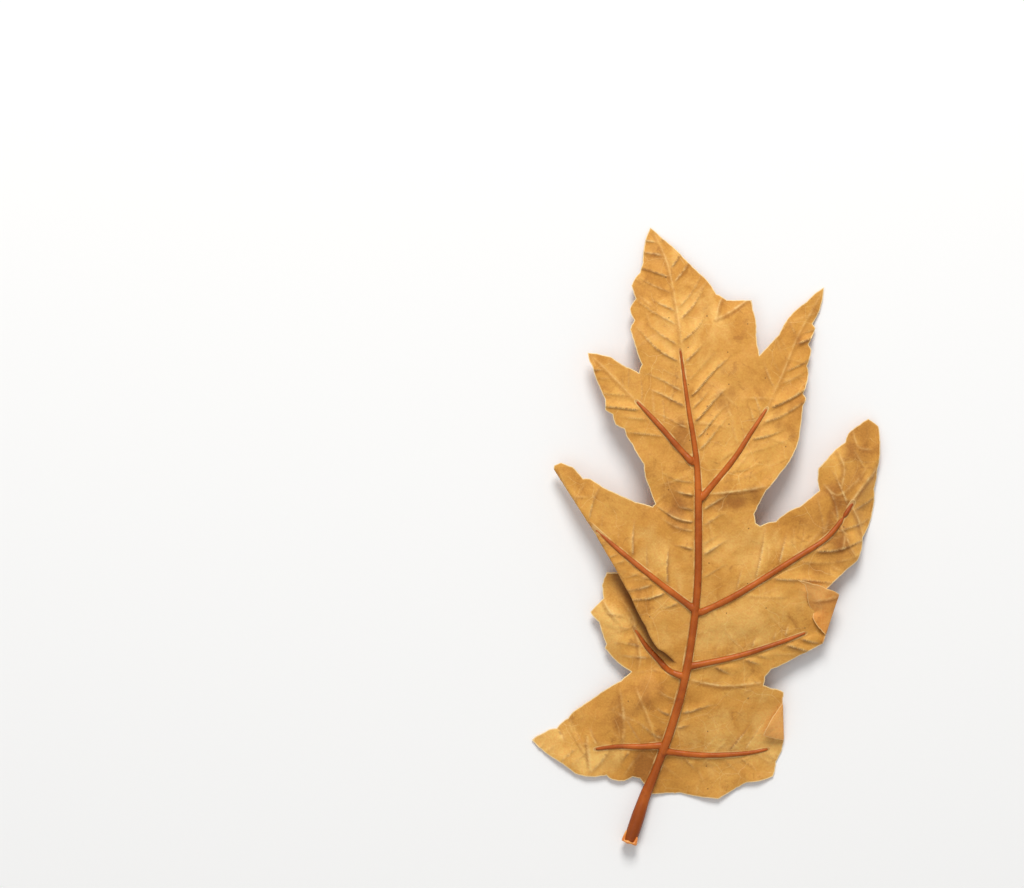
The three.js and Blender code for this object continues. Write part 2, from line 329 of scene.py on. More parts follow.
def crease_frame(flap):
    along = (flap.end - flap.start) / math.dist(flap.start, flap.end)
    outward = np.array((along[1], -along[0]))
    return along, outward


def mirror_in_crease(points, flap):
    _, outward = crease_frame(flap)
    p = MM * np.array(points, float)
    return p - 2 * ((p - flap.start) @ outward)[:, None] * outward


def fold_flap(plan, flap):
    """Turns over what lies past the flap's crease: gives plan points, the lift, and how turned each is."""
    along, outward = crease_frame(flap)
    way = (plan - flap.start) @ along
    past = (plan - flap.start) @ outward
    inside = (way > -3 * MM) & (way < flap.length) & (past > -4 * MM)
    moved = np.where(inside, -np.hypot(past, FOLD_RADIUS), past)
    turned = np.where(inside, passing(past, FOLD_RADIUS), 0)
    lift = FLAP_LIFT * turned + flap.curl * np.where(inside, np.maximum(past, 0), 0) * turned
    return plan + (moved - past)[:, None] * outward, lift, turned


# ---- the height of the fabric's middle surface ----
def midrib_x(y):
    """The midrib bows: how far to the right of the middle it is at each place along the leaf."""
    bow = np.where(y > 0, 26, 21)
    return -3 * MM - MM * (y / MM / bow) ** 2


def past_creases(x, y):
    """How far each place is past the two creases in the broad right lobe, which meet at a corner."""
    right, up = x - 49.5 * MM, y - 10 * MM
    return np.maximum(0, np.minimum(0.87 * right - 0.49 * up, 0.99 * right + 0.11 * up))


def blade_height(x, y):
    """The height of the arched blade, flattened softly where it rests on the surface."""
    along = (y - ARCH_CENTRE_Y) / ARCH_HALF_LENGTH
    offset = x - midrib_x(y)
    across = offset / np.where(offset < 0, ARCH_LEFT, ARCH_RIGHT)
    domed = ARCH_HEIGHT * (1 - along**2 - across**2) - 0.8 * past_creases(x, y)
    return CAD_THICKNESS / 2 + (domed + np.hypot(domed, RESTING_SOFTNESS)) / 2


def layer_drop(plan, turn, reach):
    """How far the pleat's middle and lower layers lie under the upper one."""
    softness = FOLD_RADIUS / np.maximum(reach, FOLD_RADIUS)
    layers = passing(turn, softness) + passing(turn - PLEAT_TURN, softness)
    closing = np.where(turn < 0, 1, pleat_closing(plan, reach))
    return PLEAT_SPACING * layers * smoothstep(reach, 0, PLEAT_FULL_AT) * closing


def pleat_closing(plan, reach):
    """How much of the pleat's drop is left at each place round the apex, past the lip."""
    plan_turn = np.mod(round_apex(plan)[1] - lip_angle(reach) + PLEAT_TURN, 2 * math.pi)
    return 1 - smoothstep(plan_turn, 0.9, 1.9)


def cad_height(plan, lower_layer):
    """The height of the blade's middle surface in the plan, for the ribs to lie on."""
    height = blade_height(plan[:, 0], plan[:, 1])
    if not lower_layer:
        return height
    reach = round_apex(plan)[0]
    return height - 2 * PLEAT_SPACING * smoothstep(reach, 0, PLEAT_FULL_AT) * pleat_closing(plan, reach)


# ---- the relief pressed into the fabric ----
# A family of pleats runs out from one side of a vein and toward its tip. Side 1 is the vein's left.
# Lean is in degrees, start and end are places along the vein where its pleats begin, in millimetres.
Pleats = namedtuple("Pleats", "vein side lean spacing height start end reach")
PLEATS = [Pleats(*row) for row in (
    ("mid", -1, 20, 5.5, 0.70, 30, 62, 11),
    ("mid", -1, 31, 5.0, 0.80, 74, 109, 15),
    ("mid", -1, 42, 7.0, 0.49, 109, 150, 13),
    ("mid", 1, 17, 4.7, 0.78, 40, 73, 13),
    ("mid", 1, 26, 6.0, 0.45, 78, 98, 11),
    ("mid", 1, 38, 6.2, 0.52, 98, 150, 16),
    ("right_1", -1, 50, 6.8, 0.85, 8, 72, 16),
    ("right_1", 1, 45, 7.5, 0.20, 20, 70, 9),
    ("right_2", -1, 50, 9.0, 0.76, 10, 64, 17),
    ("right_2", 1, 38, 8.0, 0.36, 12, 70, 14),
    ("right_3", -1, 54, 8.0, 0.82, 4, 40, 8),
    ("right_3", 1, 40, 7.0, 0.32, 8, 40, 9),
    ("left_1", 1, 42, 6.5, 0.73, 6, 50, 13),
    ("left_1", -1, 45, 7.0, 0.14, 8, 46, 8),
    ("left_2", 1, 35, 5.6, 0.72, 3, 44, 13),
    ("left_2", -1, 32, 7.0, 0.46, 10, 60, 12),
    ("left_3", 1, 35, 6.0, 0.31, 4, 36, 9),
    ("left_4", -1, 35, 7.0, 0.28, 4, 44, 12),
    ("left_4", 1, 35, 6.0, 0.35, 6, 44, 10),
    ("right_4", 1, 38, 7.5, 0.38, 8, 40, 12),
    ("right_4", -1, 38, 6.5, 0.31, 4, 40, 10),
    ("base", 1, 4, 4.6, 0.56, 34, 54, 11),
    ("base", -1, 17, 5.2, 0.45, 30, 50, 11),
)]
LOWER_VEINS = ("left_3", "left_4")
UPPER_VEINS = ("mid", "left_1", "left_2")
# How a pleat runs: the steep face's share of its width, its bend toward the tip, and its wander.
STEEP_SHARE = 0.27
CURVE = 9.0
MEANDER = 0.5 * MM
MEANDER_STEP = 2.6 * MM

SMALL_CREASES = 300
# A crease is a sharp-crested fold along a line: its height, and how far it spreads to its left and right.
Crease = namedtuple("Crease", "line height left right")
CREASES = [Crease(*row) for row in (
    ([(1.5, 15), (11, 16), (20, 17.5)], 1.3, 6, 2.0),
    ([(41.5, 6), (40, 1)], 0.2, 2, 1),
    ([(29.5, 3.5), (30, -3.5)], 0.15, 1.5, 1.5),
    ([(21, -7.5), (21, -2.5)], 0.15, 1.5, 1.5),
    ([(-35, -21.5), (-33, -25), (-30, -28.5)], 0.5, 2, 3),
    ([(-24, -32), (-22.5, -40), (-23, -44.5)], 0.4, 2, 2),
    ([(-40.5, -68.5), (-39.5, -79.5)], 0.5, 2, 5),
    ([(-29.5, -51.5), (-28, -62), (-28.5, -75.5)], 0.3, 3, 3),
    ([(-24, -51.5), (-20, -61), (-17, -69.5)], 0.3, 2, 3),
    ([(-5, -48.5), (6, -50.5), (18.5, -49.5)], 0.6, 3, 2.5),
    ([(6, 83.5), (4.2, 79), (3.2, 74.5)], 0.4, 2, 2),
    ([(3.2, 74.5), (8, 76.8), (14.5, 81.5)], 0.55, 2, 3),
    ([(-8, 63), (-10, 77.5), (-13, 93), (-17.5, 104)], 0.32, 2.2, 2.6),
    ([(20.5, 44), (26, 56), (32, 70), (40, 84)], 0.25, 2, 2),
    ([(-24, 46.5), (-32, 55), (-39, 62)], 0.3, 2, 2),
    ([(-40, 5), (-46, 13), (-50, 22)], 0.25, 2, 2),
    ([(49, 11.5), (53, 17), (58.4, 23.7)], 0.7, 3, 2.2),
    ([(49, 11.5), (52, 6), (54, -1)], 0.45, 2.5, 2),
    ([(47.5, 1.5), (49, -3), (51.5, -7)], 0.4, 1.5, 2),
    ([(43, 8.5), (47, 1.5), (46.5, -4)], 0.3, 2, 1.5),
    ([(44, 31), (47, 24), (46, 17)], 0.35, 2, 3),
    ([(50, 37), (52, 31), (57, 30)], 0.3, 2, 3),
    ([(40, 18), (45, 14.5), (52, 20)], 0.3, 3, 2),
    ([(-29, -21), (-25, -27), (-24, -32)], 0.3, 2, 2),
    ([(35.5, -21.5), (41, -21), (45, -19.7)], 0.6, 3, 2),
)]


# Where the fabric is painted darker or, below zero, paler: partly dye that varies, partly painted shade and
# painted light for how the lobes are lit: centre, half length and width, heading and strength.
Patch = namedtuple("Patch", "centre size heading strength")
PATCHES = [Patch(*row) for row in (
    ((-8.5, 35), (10, 3), 100, 0.8),
    ((-10.5, 8), (9, 5), 92, 0.95),
    ((10, 12.4), (11, 3.4), 6, 1.0),
    ((2, -7), (12, 5), 80, 0.2),
    ((35, 6), (12, 6), 30, 0.35),
    ((51, 20), (22, 9), 75, 0.48),
    ((55, 34), (7, 6), 75, 0.35),
    ((43, -7), (11, 8), 60, 0.36),
    ((20, -2), (10, 7), 30, -0.75),
    ((3, -35), (8, 4), 20, -0.6),
    ((-17, 92), (10, 5), 110, 0.35),
    ((6, 48), (10, 5), 60, 0.5),
    ((25, 37), (9, 6), 60, 0.38),
    ((-23, -17), (7, 4), 130, 0.3),
    ((14, -28), (16, 8), 10, -0.6),
    ((34, -33), (9, 6), 20, 0.2),
    ((-35, -31.5), (11, 5.5), 105, -1.5),
    ((-26, -40), (6, 4), 110, 0.5),
    ((-52, -69), (9, 7), 0, -0.75),
    ((-29, -62), (12, 7), 25, 0.5),
    ((-19, -54), (10, 6), 30, 0.5),
    ((-34, -77), (9, 4), 0, -0.3),
    ((-21, -77.5), (7, 7), 60, 1.6),
    ((3, -24), (30, 22), 90, -0.36),
    ((14, -69), (26, 11), 0, -0.55),
    ((23, -66), (6, 8), 0, -1.3),
    ((4, -3), (10, 6), 90, -0.4),
    ((-19, -4), (8, 7), 30, -0.7),
    ((37.5, -17.5), (6, 3), 0, -1.3),
    ((40, -27), (6, 5), 70, -0.3),
    ((-35, -76.5), (12, 6), 0, -0.9),
    ((-1, 73), (17, 9), 105, -0.7),
    ((-16, 84), (18, 7), 110, -0.15),
    ((36, 74), (12, 4), 60, 0.3),
    ((38.5, -21.5), (6, 5), 70, -0.5),
    ((21.5, -70), (4, 3), 0, -0.9),
    ((9, 81.5), (5, 3), 20, 0.35),
)]


def dye_and_shading_patches(plan):
    """How much darker, or below zero paler, each point is painted: partly dye, partly painted shade and
    painted light.
    """
    dye_and_painted_shading = np.zeros(len(plan))
    for patch in PATCHES:
        rel = plan - MM * np.array(patch.centre)
        turn = math.radians(patch.heading)
        along = rel @ (math.cos(turn), math.sin(turn)) / (patch.size[0] * MM)
        across = rel @ (-math.sin(turn), math.cos(turn)) / (patch.size[1] * MM)
        dye_and_painted_shading += patch.strength * bell(np.hypot(along, across), 1)
    return dye_and_painted_shading + 0.13 * waves(plan, 12 * MM, 31) + 0.11 * waves(plan, 5 * MM, 32)


def painted_fold_shadow(plan, turn, reach):
    """How strongly the pleat's shadow is painted on the lower layer, beside the lip."""
    past_lip = round_apex(plan)[1] - lip_angle(reach)
    gap = reach * (np.mod(past_lip + math.pi, 2 * math.pi) - math.pi)
    width = SHADE_WIDTH + SHADE_SPREAD * reach
    in_fold = (turn > PLEAT_TURN / 2) | ((turn > -0.02) & (reach < 1.5 * MM))
    strip = 1 - smoothstep(gap / width, 0.0, 1.25)
    fading = 1 - 0.4 * smoothstep(reach, 22 * MM, 52 * MM)
    return np.where(in_fold, strip, 0) * smoothstep(reach, 0.5 * MM, 2.5 * MM) * fading


class Family:
    """The pleats along one side of a vein, each with a gentle face toward the tip and a steep other one."""

    def __init__(self, pleats, line, seed):
        rng = np.random.default_rng(seed)
        self.pleats, self.line = pleats, line
        self.spacing = pleats.spacing * MM
        self.start, self.end = pleats.start * MM, pleats.end * MM
        count = int((self.end + 12 * MM) / self.spacing) + 4
        self.places = self.spacing * (np.arange(-3, count) + rng.uniform(-0.27, 0.27, count + 3))
        self.strength = rng.uniform(0.2, 1.35, count + 3)
        self.reach = pleats.reach * MM * rng.uniform(0.55, 1.4, count + 3)
        self.lean = math.tan(math.radians(pleats.lean))
        self.phase = rng.uniform(0, 2 * math.pi)

    def shear(self, out):
        """How far toward the tip a pleat has run at this offset from the vein."""
        meander = MEANDER * (np.sin(out / MEANDER_STEP + self.phase) - math.sin(self.phase))
        return self.lean * out + CURVE * out**2 + meander

    def window(self, root):
        opening = smoothstep(root, self.start - 1 * MM, self.start + 2 * MM)
        return opening * (1 - smoothstep(root, self.end - 2 * MM, self.end + 1 * MM))

    def relief(self, plan):
        """The height of the pleats, how near a crest each point is, and how much it is on a steep face."""
        way, offset, _ = beside_line(plan, self.line)
        out = self.pleats.side * offset
        root = way - self.shear(np.maximum(out, 0))
        number = np.clip(np.searchsorted(self.places, root) - 1, 0, len(self.places) - 2)
        width = self.places[number + 1] - self.places[number]
        t = np.clip((root - self.places[number]) / width, 0, 1)
        falling = np.maximum(0, 1 - t / (1 - STEEP_SHARE)) ** 1.35
        rising = np.maximum(0, (t - 1 + STEEP_SHARE) / STEEP_SHARE) ** 2
        fade = smoothstep(out, 0.5 * MM, 2.2 * MM)

        def share(n):
            side_fade = 1 - smoothstep(out, 0.35 * self.reach[n], self.reach[n])
            return self.strength[n] * side_fade * self.window(self.places[n])

        low, high = share(number), share(number + 1)
        height = self.pleats.height * MM * fade * (falling * low + rising * high)
        to_crest = np.minimum(t, 1 - t) * width
        nearest = np.where(t < 0.5, low, high)
        marked = min(1, self.pleats.height / 0.4)
        # Marks for a painted highlight on the crest and painted shade on the steep face.
        crest = bell(to_crest, 0.3 * MM) * nearest * fade * marked
        steep = rising * high * fade * marked
        return np.array((height, crest, steep))

    def crest_points(self):
        """Points along every crest and just to both sides of it, in the plan."""
        points, heading, at = even_points(self.line, 0.5 * MM)
        ways = at * line_length(self.line)
        columns = (*points.T, *heading.T)
        rows = []
        for place, reach, strength in zip(self.places, self.reach, self.strength):
            if strength * self.window(place) * self.pleats.height < 0.12:
                continue
            out = np.arange(1.0 * MM, 0.9 * reach, CREST_STEP)
            for offset in (-0.75 * MM, -0.3 * MM, 0.0, 0.4 * MM):
                way = place + offset + self.shear(out)
                known = (way > 0) & (way < ways[-1])
                way, side_way = way[known], out[known]
                x, y, ahead_x, ahead_y = (np.interp(way, ways, column) for column in columns)
                left = self.pleats.side * side_way
                rows.append(np.column_stack([x - ahead_y * left, y + ahead_x * left]))
        return np.vstack(rows) if rows else np.zeros((0, 2))


def families():
    lines = vein_lines()
    return [Family(pleats, lines[pleats.vein], 100 + i) for i, pleats in enumerate(PLEATS)]


def crease_relief(plan, crease):
    line = spline(crease.line)
    length = line_length(line)
    way, offset, gap = beside_line(plan, line)
    width = np.where(offset > 0, crease.left, crease.right) * MM
    ends = smoothstep(way, -0.25 * length, 0.3 * length) * (1 - smoothstep(way, 0.7 * length, 1.25 * length))
    shape = np.exp(-gap / width) * ends
    strength = ends * min(1, crease.height / 0.6)
    crest = bell(gap, 0.32 * MM) * strength
    # The side turned from the light is marked for painted shade.
    runs_right = line[-1, 0] > line[0, 0]
    lee = offset < 0 if runs_right else offset > 0
    steep = bell(gap - 0.75 * MM, 0.55 * MM) * lee * strength * 0.7
    return np.array((crease.height * MM * shape, crest, steep))


def on_left_lobe(crease):
    """Whether the crease is on the short left lobe, which is the pleat's lower layer."""
    x, y = crease.line[0]
    return x < -20 and -50 < y < -15


def crease_points():
    """Points along every crease and beside it, in the flat cut."""
    rows = []
    for crease in CREASES:
        points, heading, _ = even_points(spline(crease.line), CREST_STEP)
        for offset in (-0.4 * MM, 0.0, 0.4 * MM):
            row = points + offset * leftward(heading)
            rows.append(flatten_pleat(row / MM) if on_left_lobe(crease) else row)
    return np.vstack(rows)


def small_creases(plan, count, seed):
    """Short seeded creases all over, as handling leaves them."""
    rng = np.random.default_rng(seed)
    height, crest, steep = np.zeros((3, len(plan)))
    for _ in range(count):
        centre = MM * np.array((rng.uniform(-55, 58), rng.uniform(-88, 100)))
        heading = rng.uniform(0, 2 * math.pi)
        half = MM * rng.uniform(1.5, 6)
        way = np.array((math.cos(heading), math.sin(heading)))
        rel = plan - centre
        along, across = rel @ way, rel @ np.array((-way[1], way[0]))
        across = across + 0.06 * along**2 / MM / 10
        width = MM * rng.uniform(0.5, 2.4)
        size = MM * rng.uniform(0.06, 0.3) * rng.choice((-1, 1))
        ends = bell(along, half)
        height += size * np.exp(-np.abs(across) / width) * ends
        if size > 0:
            crest += bell(across, 0.3 * MM) * ends
            # The side turned from the light is marked for painted shade.
            lee = across * way[0] < 0
            steep += bell(np.abs(across) - 0.6 * MM, 0.4 * MM) * lee * ends * 1.2 * size / MM
    return np.array((height, 0.3 * np.minimum(crest, 1), steep))


def vein_lines():
    return {name: spline([*vein.rib, *vein.beyond]) for name, vein in VEINS.items()}


def rib_lines():
    return {name: spline(vein.rib) for name, vein in VEINS.items()}


def pressed_relief(plan, turn):
    """The fabric's relief, its crests, its steep faces and the distance to the nearest rib."""
    everywhere = np.ones(len(plan), bool)
    lower = turn > PLEAT_TURN / 2
    below = lower | (plan[:, 1] < PLEAT_APEX[1])
    relief = np.zeros((3, len(plan)))
    for family in families():
        vein = family.pleats.vein
        upper = ~lower if vein in UPPER_VEINS else everywhere
        relief += family.relief(plan) * (below if vein in LOWER_VEINS else upper)
    rib_gap = np.full(len(plan), np.inf)
    for name, line in rib_lines().items():
        way, _, gap = beside_line(plan, line)
        gap = gap - rib_radius(name, way, line_length(line))
        there = below if name in LOWER_VEINS else ~lower | (plan[:, 1] < PLEAT_APEX[1])
        rib_gap = np.where(there, np.minimum(rib_gap, gap), rib_gap)
    relief *= smoothstep(rib_gap, 0, 1.8 * MM)
    for crease in CREASES:
        relief += crease_relief(plan, crease) * (lower if on_left_lobe(crease) else everywhere)
    relief += small_creases(plan, SMALL_CREASES, 7)
    return relief[0], np.minimum(relief[1], 1), np.minimum(relief[2], 1), rib_gap


# ---- the flat cut and its mesh ----
def flat_outline():
    """The cut's corners in metres, anticlockwise, with every fold opened."""
    tip_flap, corner_flap = FLAPS
    upper = BROAD_RIGHT_LOBE + UPPER_RIGHT_LOBE + MAIN_LOBE + UPPER_LEFT_LOBE + BROAD_LEFT_LOBE
    return np.vstack([
        MM * np.array(RIGHT_BASE),
        mirror_in_crease(TURNED_CORNER, corner_flap),
        MM * np.array(LOWER_RIGHT_LOBE + FOLDED_RIGHT_LOBE),
        mirror_in_crease(TURNED_TIP, tip_flap),
        MM * np.array(upper),
        lip_crease()[-1:],
        hidden_crease()[-1:],
        flatten_pleat(SHORT_LEFT_LOBE + LOWER_LEFT_LOBE),
    ])


def cut_edge(corners):
    """The cut as it is made: each side bows a little and its edge is slightly uneven."""
    rng = np.random.default_rng(3)
    pieces = []
    for a, b in zip(corners, np.roll(corners, -1, axis=0)):
        length = math.dist(a, b)
        steps = max(2, round(length / EDGE_STEP))
        t = np.linspace(0, 1, steps, endpoint=False)
        outward = np.array((b[1] - a[1], a[0] - b[0])) / length
        bow = length * rng.uniform(-0.01, 0.07)
        marks = np.arange(0, length + MM, MM)
        uneven = 0.05 * MM * np.interp(t * length, marks, rng.normal(0, 1, len(marks)))
        ends = np.minimum(1, 4 * t * (1 - t) * length / (2 * MM))
        push = 4 * bow * t * (1 - t) + uneven * ends
        pieces.append(a + t[:, None] * (b - a) + push[:, None] * outward)
    return np.vstack(pieces)


def inside_polygon(points, polygon):
    inside = np.zeros(len(points), bool)
    x, y = points.T
    for (x1, y1), (x2, y2) in zip(polygon, np.roll(polygon, -1, axis=0)):
        crosses = (y1 > y) != (y2 > y)
        with np.errstate(divide="ignore", invalid="ignore"):
            at = (x2 - x1) * (y - y1) / (y2 - y1) + x1
        inside ^= crosses & (x < at)
    return inside


def fold_rows(line):
    """Close rows of points on both sides of a fold, so that it can bend round."""
    points, heading, _ = even_points(line, EDGE_STEP)
    offsets = MM * np.array((-0.9, -0.55, -0.3, -0.12, 0, 0.12, 0.3, 0.55, 0.9))
    return np.vstack([points[1:-1] + offset * leftward(heading[1:-1]) for offset in offsets])


def spread(points, gap):
    """Leaves out each point that is nearer than the gap to one already kept."""
    kept, taken = [], {}
    for i, (x, y) in enumerate(points):
        cell = (int(x // gap), int(y // gap))
        near = (taken.get((cell[0] + a, cell[1] + b), ()) for a in (-1, 0, 1) for b in (-1, 0, 1))
        if all(math.hypot(x - u, y - v) >= gap for group in near for u, v in group):
            taken.setdefault(cell, []).append((x, y))
            kept.append(i)
    return points[kept]


def even_field(low, high):
    """Points in staggered rows between two corners, each a little out of place."""
    rng = np.random.default_rng(11)
    xs = np.arange(low[0], high[0], MESH_STEP)
    ys = np.arange(low[1], high[1], MESH_STEP * math.sqrt(3) / 2)
    gx, gy = np.meshgrid(xs, ys)
    gx = gx + (np.arange(len(ys)) % 2)[:, None] * MESH_STEP / 2
    field = np.column_stack([gx.ravel(), gy.ravel()])
    return field + rng.uniform(-0.12, 0.12, field.shape) * MESH_STEP


def pleat_crests():
    """Points along the crests of the pleats that lie flat in the cut as they do in the plan."""
    upper = [family for family in families() if family.pleats.vein not in LOWER_VEINS]
    crests = np.vstack([family.crest_points() for family in upper])
    _, turn, _ = fold_pleat(crests)
    return crests[turn < -0.02]


def edge_distance(points, edge):
    return beside_line(points, closed(edge))[2]


def inner_ring(edge):
    """A row of points just inside the edge."""
    heading = np.roll(edge, -1, axis=0) - np.roll(edge, 1, axis=0)
    heading /= np.hypot(*heading.T)[:, None]
    ring = edge + 0.22 * MM * leftward(heading)
    ring = ring[inside_polygon(ring, edge)]
    return ring[edge_distance(ring, edge) > 0.15 * MM]


def flat_points(edge):
    """Points all over the flat cut, with close rows along the crests, at the folds and inside the edge."""
    folds = [lip_crease(), hidden_crease(), *(np.array((flap.start, flap.end)) for flap in FLAPS)]
    close = np.vstack([crease_points(), pleat_crests(), even_field(edge.min(0), edge.max(0))])
    near_fold = np.min([beside_line(close, fold)[2] for fold in folds], axis=0)
    close = spread(close[near_fold > 1.15 * MM], CLOSEST_POINTS)
    field = np.vstack([close, *(fold_rows(fold) for fold in folds)])
    field = field[inside_polygon(field, edge)]
    return np.vstack([inner_ring(edge), field[edge_distance(field, edge) > 0.45 * MM]])


def triangulate(edge, points):
    """Triangles over the flat cut. The edge's points come first and keep their numbers."""
    flat = np.vstack([edge, points])
    count = len(edge)
    sides = [(i, (i + 1) % count) for i in range(count)]
    verts, _, faces, *_ = delaunay_2d_cdt([Vector(p) for p in flat / MM], sides, [], 1, 1e-5)
    return MM * np.array([tuple(v) for v in verts]), np.array(faces)


def vertex_normals(points, triangles):
    a, b, c = (points[triangles[:, i]] for i in range(3))
    facing = np.cross(b - a, c - a)
    normals = np.zeros_like(points)
    for i in range(3):
        np.add.at(normals, triangles[:, i], facing)
    return normals / np.maximum(np.linalg.norm(normals, axis=1), 1e-12)[:, None]


def boundary_edges(triangles):
    """Edges with one triangle, in that triangle's order."""
    edges = np.vstack([triangles[:, [0, 1]], triangles[:, [1, 2]], triangles[:, [2, 0]]])
    key = np.sort(edges, axis=1)
    _, first, uses = np.unique(key, axis=0, return_index=True, return_counts=True)
    return edges[first[uses == 1]]


def shape_fabric(flat, edge_gap):
    """Folds and presses the flat cut. Returns its middle surface and what the material needs to know."""
    plan, turn, reach = fold_pleat(flat)
    drop = layer_drop(plan, turn, reach)
    lift, turned = np.zeros((2, len(plan)))
    for flap in FLAPS:
        plan, rise, over = fold_flap(plan, flap)
        lift += rise
        turned = np.maximum(turned, over)
    relief, crest, steep, rib_gap = pressed_relief(plan, turn)
    rolling = 0.55 * waves(plan, 45 * MM, 21) + 0.16 * waves(plan, 13 * MM, 22)
    curling = 0.5 * waves(plan, 15 * MM, 23) * np.exp(-edge_gap / (3.5 * MM)) * (1 + 1.3 * turned)
    calm = MM * smoothstep(rib_gap, -1 * MM, 8 * MM)
    near_lip = np.where(turn < 0, np.exp(turn * reach / LIP_LIFT_REACH), 0)
    height = blade_height(*plan.T) - drop + lift + LIP_LIFT * near_lip * smoothstep(reach, 2 * MM, 8 * MM)
    height += relief * (1 - 0.3 * turned) + (rolling + curling) * calm
    above = height - LOWEST
    height = LOWEST + (above + np.hypot(above, 0.5 * MM)) / 2
    known = {
        "relief": relief / MM, "crest": crest, "steep": steep, "edge_gap": edge_gap / MM,
        "rib_gap": rib_gap / MM, "dye_and_painted_shading": dye_and_shading_patches(plan), "fold_shadow_paint": painted_fold_shadow(plan, turn, reach),
    }
    return np.column_stack([plan, height]), known


def add_attribute(mesh, name, values):
    layer = mesh.attributes.new(name, "FLOAT", "POINT")
    layer.data.foreach_set("value", np.asarray(values, np.float32))


def mesh_object(name, points, faces):
    mesh = bpy.data.meshes.new(name)
    mesh.from_pydata([tuple(p) for p in points], [], [tuple(int(i) for i in f) for f in faces])
    mesh.validate()
    piece = bpy.data.objects.new(name, mesh)
    bpy.context.scene.collection.objects.link(piece)
    return piece


def make_blade(ground):
    corners = flat_outline()
    edge = cut_edge(corners)
    flat, triangles = triangulate(edge, flat_points(edge))
    edge_gap = edge_distance(flat, edge)
    middle, known = shape_fabric(flat, edge_gap)
    middle = middle + ground
    normals = vertex_normals(middle, triangles)
    thinned = THICKNESS / 2 * (0.55 + 0.45 * smoothstep(edge_gap, 0, 0.4 * MM))
    front = middle + normals * thinned[:, None]
    back = middle - normals * thinned[:, None]
    count = len(flat)
    rim = boundary_edges(triangles)
    walls = np.column_stack([rim[:, 1], rim[:, 0], rim[:, 0] + count, rim[:, 1] + count])
    faces = [*triangles, *(triangles[:, ::-1] + count), *walls]
    blade = mesh_object("blade_fabric", np.vstack([front, back]), faces)
    mesh = blade.data
    for name, values in known.items():
        add_attribute(mesh, name, np.concatenate([values, values]))
    side = np.concatenate([np.zeros(len(triangles)), np.ones(len(triangles)), 2 * np.ones(len(walls))])
    mesh.polygons.foreach_set("material_index", side.astype(np.int32))
    mesh.shade_smooth()
    mesh.set_sharp_from_angle(angle=math.radians(55))
    size = edge.max(0) - edge.min(0)
    x, y = edge.T
    area = 0.5 * abs(np.dot(x, np.roll(y, -1)) - np.dot(y, np.roll(x, -1)))
    return blade, tuple(float(v) for v in size), float(area)


# ---- materials ----
def linear(red, green, blue):
    """A colour given as 0-255 display values, as the linear values that a shader takes."""
    def channel(v):
        v = v / 255
        return v / 12.92 if v <= 0.04045 else ((v + 0.055) / 1.055) ** 2.4
    return (channel(red), channel(green), channel(blue), 1.0)


class Surface:
    """A material being built. Each coat of colour goes over the ones before, and so does each bump."""

    def __init__(self, name):
        self.material = bpy.data.materials.new(name)
        self.material.use_nodes = True
        self.tree = self.material.node_tree
        self.coords = self.node("TexCoord").outputs["Object"]
        self.colour = None
        self.normal = None

    def feed(self, socket, value):
        """Links the value to the socket or, when it is a plain number or colour, sets it there."""
        if isinstance(value, bpy.types.NodeSocket):
            self.tree.links.new(value, socket)
        else:
            socket.default_value = value

    def node(self, kind, settings=(), **inputs):
        node = self.tree.nodes.new("ShaderNode" + kind)
        for key, value in dict(settings).items():
            setattr(node, key, value)
        for name, value in inputs.items():
            self.feed(node.inputs[name.replace("_", " ")], value)
        return node

    def combine(self, kind, operation, a, b):
        node = self.node(kind, {"operation": operation})
        self.feed(node.inputs[0], a)
        self.feed(node.inputs[1], b)
        return node.outputs[0]

    def times(self, a, b):
        return self.combine("Math", "MULTIPLY", a, b)

    def ramp(self, value, low, high, to_low=0.0, to_high=1.0):
        """Maps low..high to to_low..to_high, smoothly and within those."""
        limits = {"From_Min": low, "From_Max": high, "To_Min": to_low, "To_Max": to_high}
        return self.node("MapRange", {"interpolation_type": "SMOOTHSTEP"}, Value=value, **limits).outputs[0]

    def noise(self, scale, detail=3.0, roughness=0.5, distortion=0.0, coords=None):
        kind = {"Scale": scale, "Detail": detail, "Roughness": roughness, "Distortion": distortion}
        return self.node("TexNoise", Vector=coords or self.coords, **kind).outputs["Fac"]

    def cells(self, feature, coords, scale):
        settings = {"feature": feature, "voronoi_dimensions": "2D"}
        return self.node("TexVoronoi", settings, Vector=coords, Scale=scale).outputs

    def attribute(self, name):
        return self.node("Attribute", {"attribute_name": name}).outputs["Fac"]

    def mix(self, factor, a, b, blend="MIX"):
        node = self.node("Mix", {"data_type": "RGBA", "blend_type": blend, "clamp_factor": True})
        for place, value in ((0, factor), (6, a), (7, b)):
            self.feed(node.inputs[place], value)
        return node.outputs[2]

    def coat(self, factor, colour, blend="MIX"):
        self.colour = self.mix(factor, self.colour, colour, blend)

    def tint(self, factor, strength, colour):
        self.coat(self.times(factor, strength), colour)

    def bump(self, strength, distance, height):
        node = self.node("Bump", Strength=strength, Distance=distance, Height=height)
        if self.normal:
            self.feed(node.inputs["Normal"], self.normal)
        self.normal = node.outputs[0]

    def finish(self, roughness, **constants):
        """Joins the coats and bumps to the shader, and sets its constant values on its own sockets."""
        sockets = self.tree.nodes["Principled BSDF"].inputs
        self.feed(sockets["Base Color"], self.colour)
        self.feed(sockets["Roughness"], roughness)
        if self.normal:
            self.feed(sockets["Normal"], self.normal)
        for name, value in constants.items():
            sockets[name.replace("_", " ")].default_value = value
        return self.material


